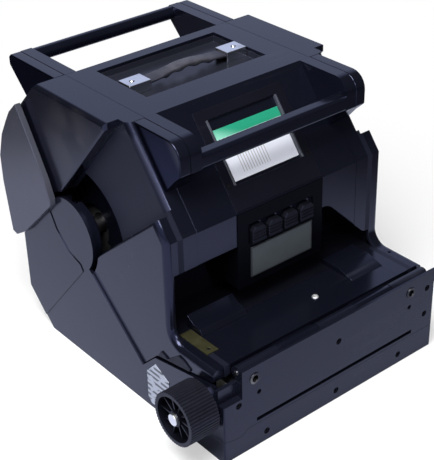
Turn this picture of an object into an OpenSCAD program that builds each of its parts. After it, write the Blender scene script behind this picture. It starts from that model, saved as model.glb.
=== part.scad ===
// Light-tight roll-paper magazine: a base that carries the paper spindle and the feed mouth,
// and a cover with two carrying handles that swings open on a long hinge above the mouth.
// X runs across, Y runs back from the mouth, Z runs up from the floor the base stands on.

/* [Body] */
// Width over the side walls of the base
body_w = 330; // [310:1:360]
// Height of the cover's top plate above the floor
body_h = 341; // [330:1:352]
// Depth from the mouth's front face to the back wall
body_d = 385; // [375:1:400]
// Thickness of the moulded walls
wall = 4; // [3:0.5:5]
// Size of the chamfer between the floor and the back wall
back_chamfer = 45; // [30:1:60]
// Gap left at the seam between base and cover
seam_gap = 2; // [1.5:0.5:4]
// How far the cover's sides stand inside the sides of the base
cover_inset = 3; // [2:0.5:5]

/* [Cover] */
// Distance from the mouth to the upright front face
front_y = 93; // [90:1:97]
// Height at which the front face turns into the slope
slope_z = 235; // [228:1:240]
// Distance from the mouth to the front edge of the top plate
slope_y = 176; // [172:1:180]
// Distance from the mouth to the rear edge of the top plate
top_back_y = 328; // [322:1:332]
// Height of the ledge behind the mouth
ledge_z = 112; // [110:1:114]
// Radius of the hollow corner between the ledge and the front face
ledge_fillet = 18; // [12:1:24]
// Width of each side cap, up to the lengthways seam
cap_w = 45; // [42:1:50]
// Depth of the slanted channel in each side cap
channel_depth = 22; // [14:1:26]
// Top of the hand recess in the front face
recess_top = 194; // [190:1:198]
// Distance from the mouth to the back of the hand recess
recess_back = 150; // [140:1:156]

/* [Handles] */
// Distance from the mouth to the front of the front handle
front_bar_y = 98; // [94:1:104]
// Distance from the mouth to the back of the rear handle
rear_bar_y = 428; // [420:1:440]
// Thickness of the round rear bar
rear_bar_d = 17; // [14:1:22]
// Depth of the front bar
front_bar_d = 18; // [14:1:22]
// Height of the front bar
front_bar_h = 19; // [16:1:24]
// Thickness of one layer of a handle arm
arm_t = 15; // [12:1:18]
// Width of the strap's recess in the top plate
strap_recess_w = 174; // [168:1:186]
// Depth of the strap's recess
strap_recess_d = 12; // [10:1:16]
// Width of the strap
strap_w = 20; // [16:1:24]

/* [Mouth] */
// Thickness of the two mouth plates
mouth_t = 14; // [12:1:16]
// Width of the paper slit
slit_w = 247; // [200:1:255]
// Height of the paper slit
slit_h = 5; // [4.5:0.5:6]
// Height of the middle of the slit above the floor
slit_z = 38; // [36:1:40]
// Height of the seam between the two mouth plates
mouth_split = 32; // [28:1:33]
// Radius of the hinge barrel behind the mouth plate
hinge_r = 8; // [7:0.5:9]
// Radius of the hinge pin
hinge_pin_r = 3; // [2.5:0.25:4]

/* [Feed] */
// Radius of the driven rubber roller
roller_r = 13; // [11:0.5:13.5]
// Radius of the pinch roller under it
pinch_r = 10; // [8:0.5:11]
// Radius of the hand knob
knob_r = 32; // [28:1:36]
// Length of the hand knob
knob_l = 38; // [30:1:44]
// Number of grip ridges round the knob
knob_ridges = 54; // [36:1:64]
// Teeth on each feed gear
gear_teeth = 18; // [18:2:22]
// Gear module
gear_m = 1; // [0.9:0.05:1.1]

/* [Spindle] */
// Radius of the paper spindle
spindle_r = 12.5; // [11:0.5:14]
// Radius of the spindle's journals
journal_r = 10; // [8:0.5:10.5]
// Radius of the paper flanges
flange_r = 62; // [50:1:70]
// Radius of the chucks that grip a three inch paper core
chuck_r = 37.5; // [37:0.25:38]
// Radius of the round hub face on each side
hub_r = 47; // [44:1:50]

/* [Hidden] */
$fn = 64;

// The part's origin lies on the floor, mid-way across, this far behind the mouth
origin_y = 200;
far = 700;
eps = 0.01;
side_x = body_w / 2;
cap_x = side_x - cover_inset;
seam_x = side_x - cap_w;

// Seam between base and cover, seen from the side: up from the knee through the hub
knee = [145, 53];
jog = [120, 77];
nose_step = [4, -15];
nose = [mouth_t, ledge_z] + nose_step;
hub_from_back = 107;
hub_above_ledge = 55;
hub = [body_d - hub_from_back, ledge_z + hub_above_ledge];
hub_gap = 6;
seam_slope = (hub[1] - knee[1]) / (hub[0] - knee[0]);

// Hinge line above the mouth
hinge_y = mouth_t - 2;
hinge_z = ledge_z - hinge_r;
hinge_gap = 0.5;
lip_y = hinge_y + hinge_r + hinge_gap;
pin_clear = 0.05;

// Feed train: the knob drives the roller through a pair of equal gears
knob_y = 30;
gear_pitch_r = gear_m * gear_teeth / 2;
roller_z = slit_z + roller_r;
knob_z = roller_z + 2 * gear_pitch_r;
nip_gap = 0.4;
pinch_z = slit_z - pinch_r - nip_gap;
shaft_r = 4;
knob_gap = 7;
gear_from_wall = 5;
gear_x = side_x - wall - gear_from_wall;
gear_w = 8;
roller_end_gap = 5;
roller_l = slit_w - 2 * roller_end_gap;
run_clear = 0.05;

plastic = [0.05, 0.055, 0.085];
plastic_dark = [0.03, 0.03, 0.045];
steel = [0.72, 0.73, 0.75];

function unit(v) = v / norm(v);
function left_normal(v) = [-v[1], v[0]];
function corner_inset(a, b, c, d) =
    let(n1 = left_normal(unit(b - a)), n2 = left_normal(unit(c - b)))
    b + d * (n1 + n2) / (1 + n1 * n2);
function inset(pts, d) =
    let(n = len(pts))
    [for (i = [0:n - 1]) corner_inset(pts[(i + n - 1) % n], pts[i], pts[(i + 1) % n], d)];
function arc(c, r, a0, a1, n) =
    [for (i = [0:n]) let(a = a0 + (a1 - a0) * i / n) c + r * [cos(a), sin(a)]];
function seam_at(y) = knee[1] + seam_slope * (y - knee[0]);
function slope_at(z) = front_y + (slope_y - front_y) * (z - slope_z) / (body_h - slope_z);
slope_angle = atan2(body_h - slope_z, slope_y - front_y);
slope_len = norm([body_h - slope_z, slope_y - front_y]);
back_top_z = body_h - (body_d - top_back_y);

fillet_steps = 8;
// Side outline of the whole housing; front is where its lower front edge lies
function housing(front) = concat(
    [[front, 0], [body_d - back_chamfer, 0], [body_d, back_chamfer], [body_d, back_top_z],
     [top_back_y, body_h], [slope_y, body_h], [front_y, slope_z]],
    arc([front_y - ledge_fillet, ledge_z + ledge_fillet], ledge_fillet, 0, -90, fillet_steps),
    [[front, ledge_z]]);

// Everything below the seam, raised by lift
function base_zone(lift) = [
    [-far, -far], [far, -far], [far, seam_at(far) + lift], knee + [0, lift], jog + [0, lift],
    nose + [0, lift], [-far, nose[1] + lift]];

// Slanted channel of a side cap, from the top front corner down to the hub
channel_set_back = 9;
channel_top_y = slope_y + channel_set_back;
channel_low = hub + [4, 63];
channel_foot = hub + [-57, -1];
channel_lip = [front_y, slope_z] + [12, 27];
channel_shoulder = hub + [34, 27];
channel_heel = hub + [-44, -18];
channel_run_out = [-60, 40];
// The cap's overhanging tip beside the channel ends bluntly, this thick
tip_t = 8;
tip_y = channel_top_y + tip_t * (channel_low[0] - channel_top_y) / (body_h - channel_low[1]);
function channel() = [
    hub, channel_shoulder, channel_low, [tip_y, body_h - tip_t], [tip_y, body_h + 1],
    [channel_top_y, body_h] + channel_run_out, channel_lip + channel_run_out, channel_lip,
    channel_foot, channel_heel];

module at_origin() translate([0, -origin_y, 0]) children();
module slab(x0, x1, pts) translate([x0, 0, 0]) rotate([90, 0, 90]) linear_extrude(x1 - x0) polygon(pts);
module rod(x0, x1, y, z, r) translate([x0, y, z]) rotate([0, 90, 0]) cylinder(h = x1 - x0, r = r);
module box(x0, x1, y0, y1, z0, z1) translate([x0, y0, z0]) cube([x1 - x0, y1 - y0, z1 - z0]);
module across(y0, y1, pts) translate([0, y1, 0]) rotate([90, 0, 0]) linear_extrude(y1 - y0) polygon(pts);
module mirrored() mirror([1, 0, 0]) children();
module both_ways(axis) {
    children();
    mirror(axis) children();
}
module both_sides() both_ways([1, 0, 0]) children();
// Moves children onto the slope: x across, y up the slope from its foot, z out of it
module on_slope() translate([0, front_y, slope_z]) rotate([slope_angle, 0, 0]) children();

// Base

module base_pan() color(plastic) at_origin() {
    inner_x = side_x - wall;
    difference() {
        intersection() {
            difference() {
                slab(-inner_x, inner_x, housing(mouth_t));
                slab(-side_x, side_x, inset(housing(mouth_t), wall));
            }
            slab(-side_x, side_x, base_zone(0));
        }
        box(-side_x, side_x, mouth_t - 1, mouth_t + wall + eps, wall, far);
    }
}

wing_t = 8;
// Outline of a wing, as steps back from and up from the hub
wing_steps = [
    [24, 32], [93, -34], [114, -47], [123, -45], [132, 23], [132, 58], [121, 90], [107, 113],
    [97, 128], [81, 143], [66, 119], [48, 88], [33, 62], [24, 40]];
wing_foot_gap = 1;
function under_wing(i) = hub + wing_steps[i] - [0, wing_foot_gap];

// The rear field of each side wall stands a little proud; its edge curls round inside the hub's rim
field_t = 1;
field_edge = [for (p = [[39, 16], [28, -4], [5, -25], [-18, -32], [-23, -40], [97, -176]]) hub + p];
module rear_field() intersection() {
    slab(-side_x - field_t, -side_x + eps,
        concat(field_edge, [[far, field_edge[5][1]], [far, under_wing(2)[1]], under_wing(2), under_wing(1)]));
    slab(-far, far, housing(mouth_t));
}

hub_block_r = 36;
hub_block_l = channel_depth - wall - 2;
hub_face_l = 14;
// The hub's rim has a second, finer edge behind the first
hub_rim_l = 5;
hub_rim_step = 1.5;
module base_side() {
    difference() {
        union() {
            intersection() {
                slab(-side_x, -side_x + wall, housing(mouth_t));
                slab(-side_x - 1, side_x, base_zone(0));
            }
            rear_field();
            rod(-side_x, -side_x + hub_rim_l, hub[0], hub[1], hub_r);
            rod(-side_x, -side_x + hub_face_l, hub[0], hub[1], hub_r - hub_rim_step);
            rod(-side_x + wall, -side_x + wall + hub_block_l, hub[0], hub[1], hub_block_r);
        }
        rod(-side_x + wall, -side_x + far, hub[0], hub[1], journal_r + run_clear);
        translate([-side_x + wall, hub[0] - journal_r - run_clear, hub[1]])
            cube([side_x, 2 * (journal_r + run_clear), hub_r + 1]);
    }
}

knob_boss_r = 24;
knob_boss_gap = 0.5;
knob_boss_set_back = 3;
module base_left_side() color(plastic) at_origin() difference() {
    union() {
        base_side();
        rod(-side_x - knob_gap + knob_boss_gap, -side_x + eps,
            knob_y + knob_boss_set_back, knob_z, knob_boss_r);
    }
    rod(-side_x - far, -side_x + far, knob_y, knob_z, shaft_r + run_clear);
}

module base_right_side() color(plastic) at_origin() mirrored() base_side();

module wing() slab(-side_x - wing_t, -side_x, [for (p = wing_steps) hub + p]);
module left_wing() color(plastic) at_origin() wing();
module right_wing() color(plastic) at_origin() mirrored() wing();

// Mouth

slit_x = 5;
slit_left = slit_x - slit_w / 2;
slit_right = slit_x + slit_w / 2;
slit_top = slit_z + slit_h / 2;
plate_corner = 2;
split_gap = 0.4;
notch_w = 26;
notch_z = 77;
notch_d = 9;
seal_room = 6;
seal_set_back = 5;
seal_front = mouth_t - seal_set_back;
seal_h = 8;
seal_top = slit_top + seal_h;
screw_hole_d = 8;
pilot_d = 5;
bush_at = [[-side_x + 44, 96], [side_x - 42, 96]];
bush_r = 7;
bush_bore_r = 4;
bush_l = 8;
bush_stand = 1;
pilot_at = [[-side_x + 50, 75], [side_x - 43, 76]];
upper_screw_at = [[-side_x + 21, 70], [5, 83], [side_x - 13, 90], [side_x - 15, 54]];
lower_screw_at = [[-side_x + 61, 14], [3, 14], [side_x - 58, 14]];
screw_r = 4;
pilot_r = 3;
knuckle_count = 5;
knuckles_room = 10;
knuckle_l = (2 * side_x - notch_w - knuckles_room) / knuckle_count;
knuckle_x0 = -side_x + notch_w + 2;
function knuckle_x(i) = knuckle_x0 + i * knuckle_l;
knuckle_gap = 1;
knuckle_web = 4;
mouth_top = hinge_z - hinge_r - 1;
plate_back = hinge_y - hinge_r - hinge_gap;

// Front outline of a mouth plate between a flat edge and the split, which dips near the left corner
split_dip = 6;
function split_line(shift) = [for (p = [
    [side_x, 0], [-side_x + 34, 0], [-side_x + 24, -split_dip], [-side_x + 12, 1 - split_dip],
    [-side_x, 4 - split_dip]]) p + [0, mouth_split + shift]];
module plate_block(z, shift) difference() {
    across(0, mouth_t, concat([[-side_x, z], [side_x, z]], split_line(shift)));
    both_sides() translate([-side_x, 0, -1]) difference() {
        translate([-1, -1, 0]) cube([plate_corner + 1, plate_corner + 1, body_h]);
        translate([plate_corner, plate_corner, -1]) cylinder(h = body_h + 2, r = plate_corner);
    }
}
module front_holes(at, r, depth)
    for (p = at) translate([p[0], -1, p[1]]) rotate([-90, 0, 0]) cylinder(h = depth + 1, r = r);

module mouth_upper_plate() color(plastic) at_origin() difference() {
    union() {
        plate_block(mouth_top, split_gap);
        box(-side_x + notch_w, side_x, 0, plate_back, mouth_top - eps, ledge_z);
        for (i = [0:2:knuckle_count - 1]) {
            x1 = knuckle_x(i) + knuckle_l - knuckle_gap;
            rod(knuckle_x(i), x1, hinge_y, hinge_z, hinge_r);
            box(knuckle_x(i), x1, plate_back - hinge_gap, hinge_y, mouth_top - eps, hinge_z);
        }
    }
    rod(-far, far, hinge_y, hinge_z, hinge_pin_r);
    box(-side_x - 1, -side_x + notch_w, -1, notch_d, notch_z, ledge_z);
    box(slit_left, slit_right, -1, mouth_t + 1, slit_z - slit_h / 2, slit_top);
    box(slit_left - seal_room, slit_right + seal_room, seal_front, mouth_t + 1, mouth_split - 1, seal_top);
    front_holes(upper_screw_at, screw_r, screw_hole_d);
    front_holes(bush_at, bush_r, bush_l - bush_stand);
    front_holes(pilot_at, pilot_r, pilot_d);
}

foot_step_h = 4;
foot_step_d = 1.2;
module mouth_lower_plate() color(plastic) at_origin() difference() {
    plate_block(0, 0);
    box(-far, far, -1, foot_step_d, -1, foot_step_h);
    front_holes(lower_screw_at, screw_r, screw_hole_d);
}

screw_head_sink = 1.6;
screw_l = 6;
socket_d = 1.4;
module screw_in_hole(p) translate([p[0], screw_head_sink, p[1]]) rotate([-90, 0, 0]) difference() {
    cylinder(h = screw_l, r = screw_r);
    translate([0, 0, -1]) cylinder(h = socket_d + 1, r = screw_r / 2, $fn = 6);
}
module mouth_screws() color([0.08, 0.08, 0.1]) at_origin()
    for (p = concat(upper_screw_at, lower_screw_at)) screw_in_hole(p);

module mouth_bushes() color(steel) at_origin()
    for (p = bush_at) translate([p[0], -bush_stand, p[1]]) rotate([-90, 0, 0]) difference() {
        cylinder(h = bush_l, r = bush_r);
        translate([0, 0, -1]) cylinder(h = bush_l + 2, r = bush_bore_r);
    }

seal_t = 4;
seal_gap = 0.8;
seal_end = seal_room - 1;
module light_seal(z0, z1) color([0.02, 0.02, 0.02]) at_origin()
    box(slit_left - seal_end, slit_right + seal_end, seal_front + eps, seal_front + seal_t, z0, z1);
module upper_light_seal() light_seal(slit_z + seal_gap, seal_top - eps);
module lower_light_seal() light_seal(mouth_split + eps, slit_z - seal_gap);

// Feed train inside the mouth

roller_end = roller_l / 2;
bearing_t = 6;
bearing_gap = 6;
bearing_x = roller_end + slit_x + bearing_gap;
bearing_wall = 6;
bearing_top = knob_z + shaft_r + bearing_wall;
bearing_reach = 18;
bearing_back = knob_y + bearing_reach;
module bearing_block() difference() {
    box(-bearing_x - bearing_t, -bearing_x, mouth_t + 1, bearing_back, wall, bearing_top);
    rod(-far, far, knob_y, roller_z, shaft_r + run_clear);
    rod(-far, far, knob_y, pinch_z, shaft_r + run_clear);
    rod(-far, far, knob_y, knob_z, shaft_r + run_clear);
}
module roller_bearings() color([0.75, 0.74, 0.7]) at_origin() both_sides() bearing_block();

guard_t = 3;
guard_front = [mouth_t, nose[1]] + [3, -8];
guard_back = jog + [-20, -5];
module roller_guard() color(plastic_dark) at_origin() {
    below = [0, -guard_t];
    slab(-bearing_x, bearing_x, [guard_front, guard_front + below, guard_back + below, guard_back]);
    both_sides() box(-bearing_x - bearing_t, -bearing_x + eps, guard_front[0], bearing_back,
        bearing_top, guard_front[1] - guard_t);
}

module feed_roller() color([0.09, 0.09, 0.1]) at_origin() {
    rod(slit_x - roller_end, slit_x + roller_end, knob_y, roller_z, roller_r);
    rod(-gear_x - 1, bearing_x + bearing_t, knob_y, roller_z, shaft_r);
}
module pinch_roller() color([0.6, 0.6, 0.62]) at_origin() {
    rod(slit_x - roller_end, slit_x + roller_end, knob_y, pinch_z, pinch_r);
    rod(-bearing_x - bearing_t, bearing_x + bearing_t, knob_y, pinch_z, shaft_r);
}

// A ring of equal teeth, each given by steps of [share of a pitch, radius]
function teeth(count, turn, shape) = [
    for (i = [0:count - 1], q = shape)
        let(a = turn + (i + q[0]) * 360 / count) q[1] * [cos(a), sin(a)]];
gear_root_share = 1.15;
gear_tip_share = 0.85;
// A spur gear: each tooth rises from the root circle to a narrower tip
module gear(turn) {
    root_r = gear_pitch_r - gear_root_share * gear_m;
    tip_r = gear_pitch_r + gear_tip_share * gear_m;
    tooth = [[-0.21, root_r], [-0.1, tip_r], [0.1, tip_r], [0.21, root_r]];
    difference() {
        linear_extrude(gear_w) polygon(teeth(gear_teeth, turn, tooth));
        translate([0, 0, -1]) cylinder(h = gear_w + 2, r = shaft_r);
    }
}
module gear_at(z, turn) translate([-gear_x, knob_y, z]) rotate([90, 0, 90]) gear(turn);
module feed_gear() color([0.85, 0.83, 0.76]) at_origin() gear_at(roller_z, 90);
module knob_gear() color([0.85, 0.83, 0.76]) at_origin() gear_at(knob_z, 90 + 180 / gear_teeth);

knob_face_x = -side_x - knob_gap - knob_l;
knob_rim_t = 5;
knob_dish_r = knob_r - knob_rim_t;
knob_dish_d = 12;
knob_hub_r = 9;
knob_hub_sink = 2;
spokes = 10;
spoke_t = 1.8;
spoke_sink = 5;
ridge_h = 1;
ridge = [[0, knob_r - ridge_h], [0.25, knob_r], [0.55, knob_r], [0.8, knob_r - ridge_h]];
module knob_dish() difference() {
    translate([0, 0, -1]) cylinder(h = knob_dish_d + 1, r = knob_dish_r);
    translate([0, 0, knob_hub_sink]) cylinder(h = knob_dish_d, r = knob_hub_r);
    for (i = [0:spokes - 1]) rotate([0, 0, 360 / spokes * i])
        translate([0, -spoke_t / 2, spoke_sink]) cube([knob_dish_r + 1, spoke_t, knob_dish_d]);
}
module knob() color(plastic_dark) at_origin()
    translate([knob_face_x, knob_y, knob_z]) rotate([90, 0, 90]) difference() {
        linear_extrude(knob_l) polygon(teeth(knob_ridges, 0, ridge));
        knob_dish();
        translate([0, 0, -1]) cylinder(h = knob_l + 2, r = shaft_r);
    }
shaft_sink = 4;
module knob_shaft() color(steel) at_origin()
    rod(knob_face_x + shaft_sink, -bearing_x - eps, knob_y, knob_z, shaft_r);
cap_t = 3;
cap_r = knob_hub_r - 2;
module knob_cap() color(steel) at_origin()
    rod(knob_face_x + knob_hub_sink - cap_t, knob_face_x + knob_hub_sink, knob_y, knob_z, cap_r);

// White tag under the seam; steps back from and up from the jog of the seam
label_t = 0.5;
label_steps = [[-24, -71], [11, -71], [17, -65], [17, -27], [0, -9], [-24, -21]];
module side_label() color([0.9, 0.92, 0.94]) at_origin()
    slab(-side_x - label_t, -side_x, [for (p = label_steps) jog + p]);
// Toothed dark trim on the cover's lower edge, above the tag, in the same steps
trim_t = 2;
trim_steps = [[-4, 5], [-10, 14], [-22, 10], [-42, 26], [-51, 24], [-62, 18], [-62, 15.5]];
module seam_trim() color(plastic_dark) at_origin()
    slab(-cap_x - trim_t, -cap_x, [for (p = trim_steps) jog + p]);

// Paper spindle

pocket_r = 80;
left_pocket = 36;
flange_t = 5;
flange_gap = 5.5;
flange_x = side_x - left_pocket - wall - flange_gap - flange_t + slit_x;
spindle_end = side_x - wall - run_clear - 1;
spindle_half = flange_x + flange_t + 1;
module spindle() color(steel) at_origin() {
    rod(slit_x - spindle_half, slit_x + spindle_half, hub[0], hub[1], spindle_r);
    rod(-spindle_end, spindle_end, hub[0], hub[1], journal_r);
}
// A pair of rings on the spindle, each from x0 outward to x1 either side of the paper's middle
module ring_pair(x0, x1, r) at_origin() translate([slit_x, 0, 0]) both_sides() difference() {
    rod(-x1, -x0, hub[0], hub[1], r);
    rod(-far, 0, hub[0], hub[1], spindle_r);
}
module spindle_flanges() color([0.75, 0.76, 0.78]) ring_pair(flange_x, flange_x + flange_t, flange_r);
chuck_l = 22;
module core_chucks() color([0.1, 0.1, 0.12]) ring_pair(flange_x - chuck_l, flange_x, chuck_r);

// Cover

recess_from_left = 12;
recess_from_right = 20;
recess_rise = 21;
recess_lead = 8;
recess_left = -side_x + recess_from_left;
recess_right = side_x - recess_from_right;
recess_low = ledge_z + recess_rise;
recess_front = front_y - recess_lead;
// On the right the recess's upper edge falls at 45 degrees, rounded at both ends
fall_from_right = 8.6;
fall_foot = recess_right - fall_from_right;
fall_top = fall_foot - recess_top + recess_low;
fall_foot_r = 16;
fall_top_r = 22;
fall_angle = 45;
fall_tangent = tan(fall_angle / 2);
fall_steps = 6;
function recess_outline() = concat(
    [[recess_left, ledge_z], [recess_right, ledge_z], [recess_right, recess_low]],
    arc([fall_foot + fall_foot_r * fall_tangent, recess_low + fall_foot_r], fall_foot_r,
        270, 270 - fall_angle, fall_steps),
    arc([fall_top - fall_top_r * fall_tangent, recess_top - fall_top_r], fall_top_r,
        fall_angle, 90, fall_steps),
    [[recess_left, recess_top]]);
module recess_opening(y0, y1) across(y0, y1, recess_outline());

module recess_cut() {
    recess_opening(0, recess_back);
    box(recess_left, recess_right, recess_front, recess_back, ledge_z - wall - 1, ledge_z + eps);
}
module cover_shell(x0, x1, closed) difference() {
    slab(x0, x1, housing(lip_y));
    slab(closed ? x0 + wall : x0 - 1, x1 + 1, inset(housing(lip_y), wall));
    slab(-far, far, base_zone(seam_gap));
}
journal_room = 18;
// The slanted channel, and the deeper round pocket in it that clears the hub
module channel_tray(pocket) intersection() {
    union() {
        slab(-cap_x, -side_x + channel_depth + wall, inset(channel(), -wall));
        intersection() {
            rod(-cap_x, -side_x + pocket + wall, hub[0], hub[1], pocket_r + wall);
            slab(-far, far, inset(channel(), -wall));
        }
    }
    slab(-far, far, housing(lip_y));
}
module channel_cut(pocket) {
    slab(-far, -side_x + channel_depth, channel());
    intersection() {
        rod(-far, -side_x + pocket, hub[0], hub[1], pocket_r);
        slab(-far, far, channel());
    }
    rod(-far, -side_x + pocket, hub[0], hub[1], hub_r + hub_gap);
    rod(-far, -seam_x + 1, hub[0], hub[1], journal_r + journal_room);
}
corner_r = 8;
channel_edge_r = 8;
// Tools that round the front edges of a side cap
graze = 0.03;
module edge_round(r, l) difference() {
    translate([-1, -1, -1]) cube([r + 1, r + 1, l + 1]);
    translate([r, r, -2]) cylinder(h = l + 4, r = r);
}
// The rounding turns with the hollow corner above the ledge
fillet_mid = [front_y - ledge_fillet, ledge_z + ledge_fillet];
module hollow_round() intersection() {
    translate([-cap_x - graze, fillet_mid[0], fillet_mid[1]]) rotate([0, 90, 0])
        rotate_extrude() difference() {
            translate([ledge_fillet - 1, -1]) square(corner_r + 1);
            translate([ledge_fillet - graze + corner_r, corner_r]) circle(r = corner_r);
        }
    box(-far, far, fillet_mid[0], far, -far, fillet_mid[1]);
}
top_edge_r = 6;
ridge_r = 3;
foot_r = 4;
edge_run_out = 14;
slope_run_out = 3;
channel_tip = [tip_y, body_h - tip_t];
// Rounds the outer edge of the cap along a line between two points, with the solid on the right of it
module slanted_round(from, to, r) {
    way = (to - from) / norm(to - from);
    start = from - edge_run_out * way;
    translate([-cap_x - graze, start[0] - graze * way[1], start[1] + graze * way[0]])
        rotate([atan2(-way[0], way[1]), 0, 0])
            edge_round(r, norm(to - from) + 2 * edge_run_out);
}
module corner_rounding() {
    translate([-cap_x - graze, tip_y, body_h + graze]) rotate([-90, 0, 0]) edge_round(top_edge_r, far);
    translate([-cap_x - graze, tip_y - graze, channel_tip[1] - 2 * top_edge_r]) edge_round(top_edge_r, far);
    slanted_round(channel_low, channel_tip, ridge_r);
    slanted_round(channel_lip, channel_foot, foot_r);
    translate([-cap_x, front_y, fillet_mid[1] + 1]) edge_round(corner_r, far);
    hollow_round();
    translate([-cap_x - graze, 0, ledge_z + graze]) rotate([-90, 0, 0]) edge_round(corner_r, fillet_mid[0]);
    on_slope() translate([-cap_x - graze, -far / 2, graze]) rotate([-90, 0, 0]) edge_round(corner_r, far);
    channel_s = (channel_lip[1] - slope_z) / sin(slope_angle);
    on_slope() translate([-side_x + channel_depth - graze, channel_s, graze]) rotate([-90, 0, 0])
        edge_round(channel_edge_r, slope_len - channel_s + slope_run_out);
}
module cover_cap(pocket) difference() {
    union() {
        cover_shell(-cap_x, -seam_x - eps, true);
        channel_tray(pocket);
    }
    channel_cut(pocket);
    corner_rounding();
    slab(-far, far, base_zone(seam_gap));
}
module cover_left_cap() color(plastic) at_origin() difference() {
    cover_cap(left_pocket);
    recess_cut();
}
module cover_right_cap() color(plastic) at_origin() difference() {
    mirrored() cover_cap(channel_depth);
    recess_cut();
    translate([side_x - ledge_hole[0], ledge_hole[1], 0]) cylinder(h = far, r = small_hole_r);
}
ledge_hole = [14, front_y - 31];
small_hole_r = 2;

tray_front_gap = 40;
tray_back_gap = 16;
strap_from_tray = 44;
tray_y = [slope_y + tray_front_gap, top_back_y - tray_back_gap];
strap_y = tray_y[0] + strap_from_tray;
tray_half = strap_recess_w / 2;
pocket_w = 104;
pocket_s = [30, 108];
pocket_l = pocket_s[1] - pocket_s[0];
pocket_d = 2.5;
module cover_ledge() color(plastic) at_origin() difference() {
    union() {
        intersection() {
            cover_shell(-seam_x, seam_x, false);
            box(-far, far, -far, recess_front, 0, ledge_z);
        }
        for (i = [1:2:knuckle_count - 1]) {
            x1 = knuckle_x(i) + knuckle_l - knuckle_gap;
            rod(knuckle_x(i), x1, hinge_y, hinge_z, hinge_r);
            box(knuckle_x(i), x1, hinge_y, lip_y + wall, hinge_z, hinge_z + knuckle_web);
        }
    }
    rod(-far, far, hinge_y, hinge_z, hinge_pin_r + pin_clear);
}
module cover_centre() color(plastic) at_origin() difference() {
    cover_shell(-seam_x, seam_x, false);
    recess_opening(0, recess_back);
    tab_slot();
    box(-far, far, -far, recess_back - wall, 0, ledge_z + eps);
    box(-tray_half, tray_half, tray_y[0], tray_y[1], body_h - wall - 1, body_h + 1);
    on_slope() translate([-pocket_w / 2, pocket_s[0], -pocket_d]) cube([pocket_w, pocket_l, far]);
}

module hand_recess() color(plastic_dark) at_origin() {
    front = front_y + wall;
    difference() {
        across(front + eps, recess_back + wall, inset(recess_outline(), -wall));
        recess_opening(front - 1, recess_back);
    }
    box(recess_left, recess_right, recess_front + eps, front + 2 * eps, ledge_z - wall, ledge_z);
}

panel_w = 128;
panel_t = 1.5;
panel_rise = 26;
panel_z = [ledge_z + panel_rise, recess_top];
tabs = 4;
tab_w = 20;
tab_h = 20;
tab_gap = 4;
tab_in = 2.5;
tab_out = 6;
tab_play = 0.3;
tab_travel = 4;
tab_slot_z = recess_top - 1;
tab_pitch = tab_w + tab_gap;
tab_row = tabs * tab_pitch + 1;
module tab_slot() box(-tab_row / 2, tab_row / 2, front_y - panel_t - 1, front_y + tab_in,
    tab_slot_z - tab_play, tab_slot_z + tab_h + tab_travel + tab_play);
module code_panel() color(plastic) at_origin() difference() {
    union() {
        box(-panel_w / 2, panel_w / 2, front_y - panel_t, recess_back, panel_z[0], panel_z[1] - eps);
        box(-panel_w / 2, panel_w / 2, front_y - panel_t, front_y, panel_z[0], slope_z);
    }
    tab_slot();
    box(-panel_w / 2 + wall, panel_w / 2 - wall, front_y + tab_in + wall, recess_back - wall,
        panel_z[0] - 1, panel_z[1] - wall);
}
plate_w = 93;
plate_h = 39;
plate_t = 1.5;
plate_below_slot = 6;
plate_top = tab_slot_z - plate_below_slot;
module name_plate() color([0.62, 0.66, 0.68]) at_origin()
    box(-plate_w / 2, plate_w / 2, front_y - panel_t - plate_t, front_y - panel_t,
        plate_top - plate_h, plate_top);

// A code tab has cut-off upper corners and three grooves for a fingertip
tab_cut = [4, 5];
groove_w = 2;
groove_d = 1;
grooves = [5, 9, 13];
tab_half = tab_w / 2;
tab_outline = [
    [-tab_half, 0], [tab_half, 0], [tab_half, tab_h - tab_cut[1]], [tab_half - tab_cut[0], tab_h],
    [-tab_half + tab_cut[0], tab_h], [-tab_half, tab_h - tab_cut[1]]];
module code_tab(i) color(plastic_dark) at_origin()
    translate([(i - (tabs + 1) / 2) * tab_pitch, front_y, tab_slot_z]) difference() {
        across(-tab_out, tab_in - tab_play, tab_outline);
        for (z = grooves)
            box(-tab_w, tab_w, -tab_out - 1, -tab_out + groove_d, z - groove_w / 2, z + groove_w / 2);
    }
module code_tab_1() code_tab(1);
module code_tab_2() code_tab(2);
module code_tab_3() code_tab(3);
module code_tab_4() code_tab(4);

card_w = 97;
card_t = 0.6;
card_end = 4;
card_top_gap = 13;
module label_card() color([0.75, 0.9, 0.82]) at_origin() on_slope()
    translate([-card_w / 2, pocket_s[0] + card_end, -pocket_d])
        cube([card_w, pocket_l - card_end - card_top_gap, card_t]);

door_t = 1.2;
door_s = [2, 120];
module label_door() color(plastic) at_origin() on_slope() difference() {
    translate([-panel_w / 2, door_s[0], 0]) cube([panel_w, door_s[1] - door_s[0], door_t]);
    translate([-pocket_w / 2, pocket_s[0], -1]) cube([pocket_w, pocket_l, door_t + 2]);
}
frame_w = 3;
frame_fit = 0.2;
frame_stand = 0.8;
frame_h = pocket_d + door_t + frame_stand;
module label_frame() color([0.45, 0.47, 0.5]) at_origin() on_slope() both_sides()
    translate([-pocket_w / 2 + frame_fit, pocket_s[0] + frame_fit, -pocket_d])
        cube([frame_w, pocket_l - 2 * frame_fit, frame_h]);

label_screw_r = 3;
label_screw_top_r = 2.3;
label_screw_h = 1.5;
label_screw_at = [-pocket_w / 2 - 7, pocket_s[0] + 2, door_t];
module label_screws() color([0.3, 0.31, 0.33]) at_origin() on_slope() both_sides()
    translate(label_screw_at) cylinder(h = label_screw_h, r1 = label_screw_r, r2 = label_screw_top_r);

// Handles: each arm is two layers, with the lengthways seam between them

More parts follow.
